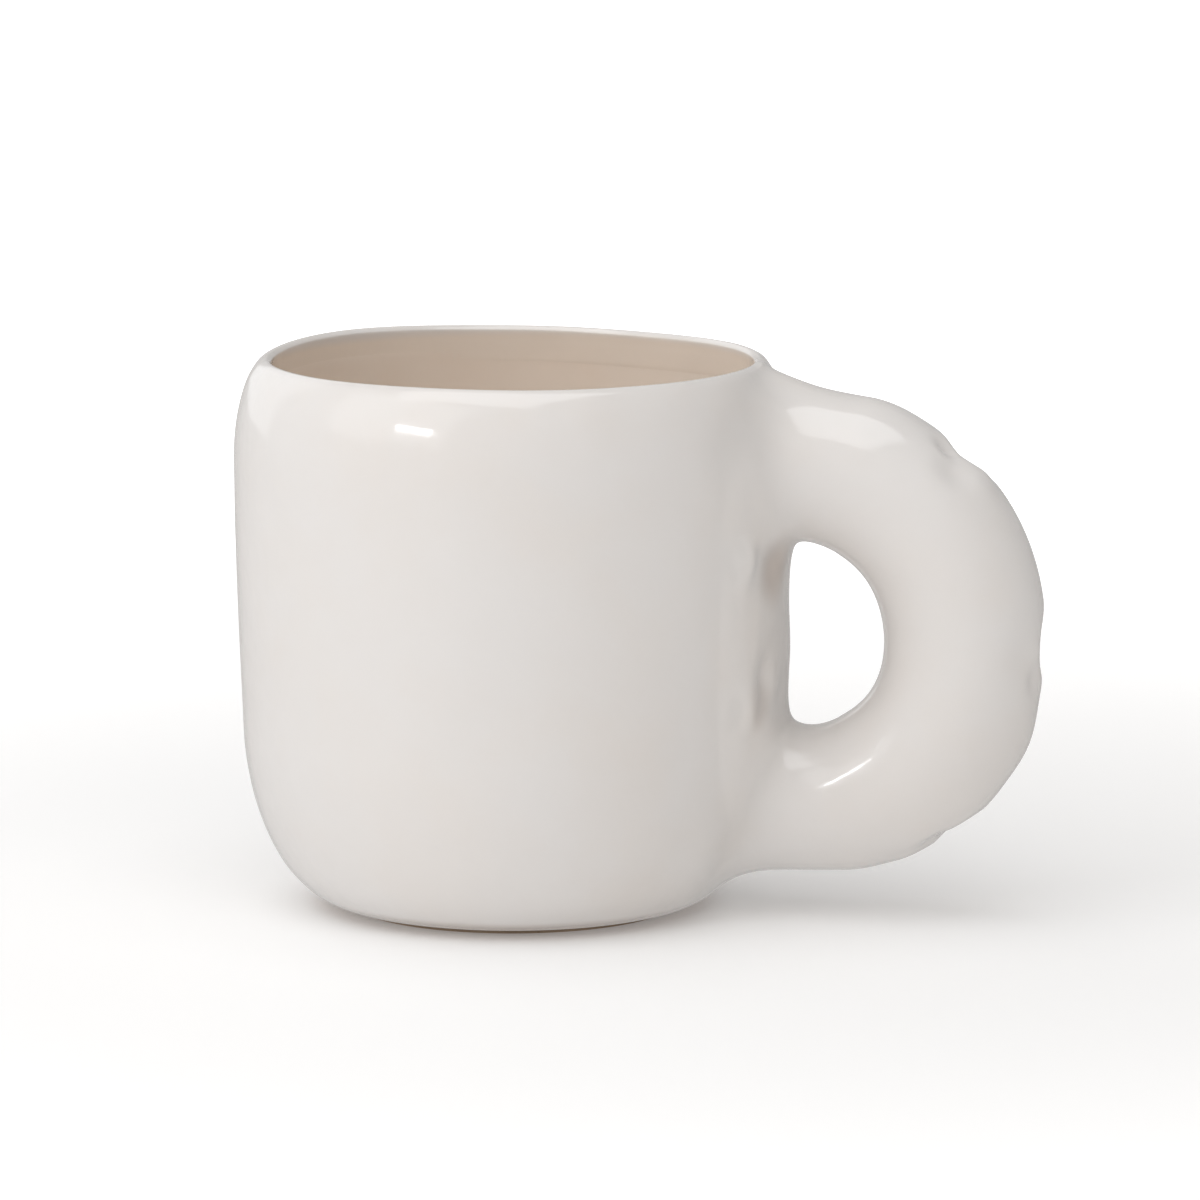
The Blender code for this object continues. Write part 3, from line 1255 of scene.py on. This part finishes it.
@dataclass(frozen=True)
class Studio:
    """Floor, lights and camera."""

    view_deg: float = 10.0
    lift_deg: float = 9.4
    distance: float = 1.3
    frame_width: float = 200.8 * MM
    aim_right: float = 14.5 * MM
    aim_up: float = 5.1 * MM
    aim_z: float = 46.0 * MM
    sensor: float = 36.0

    def directions(self) -> tuple[Vector, Vector, Vector]:
        """Works out which way the camera is turned.

        Returns:
            Its right, up and back directions.
        """
        a, e = math.radians(self.view_deg), math.radians(self.lift_deg)
        right = Vector((math.cos(a), math.sin(a), 0))
        back = Vector((math.sin(a) * math.cos(e), -math.cos(a) * math.cos(e), math.sin(e)))
        return right, back.cross(right), back

    def place_camera(self) -> None:
        """Stands the camera off the front and a little above the mug."""
        right, up, back = self.directions()
        target = Vector((AXIS_X, 0, self.aim_z)) + right * self.aim_right + up * self.aim_up
        data = bpy.data.cameras.new("camera")
        data.sensor_width = self.sensor
        data.lens = self.sensor * self.distance / self.frame_width
        data.clip_start = 0.05
        obj = bpy.data.objects.new("camera", data)
        obj.location = target + back * self.distance
        obj.rotation_euler = back.to_track_quat("Z", "Y").to_euler()
        bpy.context.scene.collection.objects.link(obj)
        bpy.context.scene.camera = obj

    def lay_floor(self) -> None:
        """Lays a plain pale floor that glows with painted light, dim beside the mug and white further
        off, and is darker far off to the front as painted shade.
        """
        deselect_all()
        bpy.ops.mesh.primitive_plane_add(size=8.0, location=(0, 0, 0))
        floor = bpy.context.object
        floor.name = "floor"
        bench = Bench("pale_floor_painted_light")
        depth = bench.node("ShaderNodeSeparateXYZ", output="Y", Vector=bench.place)
        away = bench.node("ShaderNodeVectorMath", {"operation": "LENGTH"}, "Value", Vector=bench.place)
        lit = bench.between(depth, -0.75, -0.3)
        # Painted light: the floor glows, dim beside the mug, rising to white further off, and dim far
        # off to the front.
        painted_floor_glow = bench.blend(bench.between(away, 0.05, 0.6) * lit, (0.17, 0.17, 0.17), (0.7, 0.7, 0.7))
        # Painted shade: the floor's colour is darker far off to the front.
        tone = bench.blend(lit, (0.45, 0.44, 0.43), (0.84, 0.835, 0.83))
        floor.data.materials.append(
            bench.finish(Base_Color=tone, Roughness=0.8, Emission_Color=painted_floor_glow, Emission_Strength=1.0)
        )
        floor.visible_glossy = False

    def towards(self, bearing_deg: float, lift_deg: float, distance: float) -> Vector:
        """A place in the studio as seen from the mug.

        Args:
            bearing_deg: Degrees round from the camera, positive to its right.
            lift_deg: Degrees above the floor.
            distance: How far from the mug.

        Returns:
            The place.
        """
        right, _, _ = self.directions()
        turn, lift = math.radians(bearing_deg), math.radians(lift_deg)
        nearer = Vector((right.y, -right.x, 0))
        flat = right * math.sin(turn) + nearer * math.cos(turn)
        middle = Vector((0, 0, self.aim_z))
        return middle + (flat * math.cos(lift) + Vector((0, 0, 1)) * math.sin(lift)) * distance

    def set_surroundings(self) -> None:
        """Sets soft surroundings, dimmer towards the right and white where the camera sees them."""
        world = bpy.data.worlds.new("studio")
        world.use_nodes = True
        tree = world.node_tree
        seen = tree.nodes.new("ShaderNodeBackground")
        seen.inputs["Color"].default_value = (1.0, 1.0, 1.0, 1.0)
        seen.inputs["Strength"].default_value = 1.0
        lit = tree.nodes["Background"]
        lit.inputs["Color"].default_value = (1.0, 0.975, 0.955, 1.0)
        way = tree.nodes.new("ShaderNodeTexCoord")
        split = tree.nodes.new("ShaderNodeSeparateXYZ")
        dim = tree.nodes.new("ShaderNodeMapRange")
        for name, value in (("From Min", -0.5), ("From Max", 0.8), ("To Min", 0.58), ("To Max", 0.27)):
            dim.inputs[name].default_value = value
        tree.links.new(way.outputs["Generated"], split.inputs[0])
        tree.links.new(split.outputs["X"], dim.inputs["Value"])
        tree.links.new(dim.outputs[0], lit.inputs["Strength"])
        ray = tree.nodes.new("ShaderNodeLightPath")
        mix = tree.nodes.new("ShaderNodeMixShader")
        tree.links.new(ray.outputs["Is Camera Ray"], mix.inputs[0])
        tree.links.new(lit.outputs[0], mix.inputs[1])
        tree.links.new(seen.outputs[0], mix.inputs[2])
        tree.links.new(mix.outputs[0], tree.nodes["World Output"].inputs[0])
        bpy.context.scene.world = world

    def hang_lights(self) -> None:
        """Hangs the softboxes; the front fill stays out of reflections."""
        middle = Vector((0, 0, self.aim_z))
        cool, warm = (0.96, 0.98, 1.0), (1.0, 0.965, 0.93)
        for box in (
            Softbox("window", self.towards(-43, 22.0, 1.25), middle, (0.34, 0.05), 0.8, cool),
            Softbox("left_front", self.towards(-56, 34, 1.4), middle, (1.4, 1.0), 3.0, cool),
            Softbox("left_back", self.towards(-140, 22, 1.2), middle, (1.0, 0.9), 1.1, cool),
            Softbox("overhead", self.towards(-30, 80, 1.4), middle, (1.3, 1.3), 7.6, cool),
            Softbox("front_fill", self.towards(14, 40, 1.6), middle, (1.2, 1.0), 3.2, warm, False),
        ):
            box.build()

    def build(self) -> None:
        """Sets up the whole studio."""
        self.lay_floor()
        self.set_surroundings()
        self.hang_lights()
        self.place_camera()
        bpy.context.scene.view_settings.view_transform = "Standard"


def main() -> None:
    """Builds the mug piece by piece, then the studio round it."""
    logging.basicConfig(level=logging.INFO, format="%(name)s: %(message)s")
    body, ring = BodyForm(), RingForm()
    outside = OuterGlaze(body, ring)
    skin = outside.build()
    outside.dress(skin)
    LOG.info("outer glaze: %d faces", len(skin.data.polygons))
    liner = Liner(body)
    inside = liner.build()
    liner.dress(inside)
    LOG.info("liner: %d faces", len(inside.data.polygons))
    foot = Foot()
    foot_ring, recess = foot.build_ring(), foot.build_recess()
    foot.dress(foot_ring, recess)
    LOG.info("foot: %d faces", len(foot_ring.data.polygons) + len(recess.data.polygons))
    dress_hidden_clay()
    Studio().build()


if __name__ == "__main__":
    main()
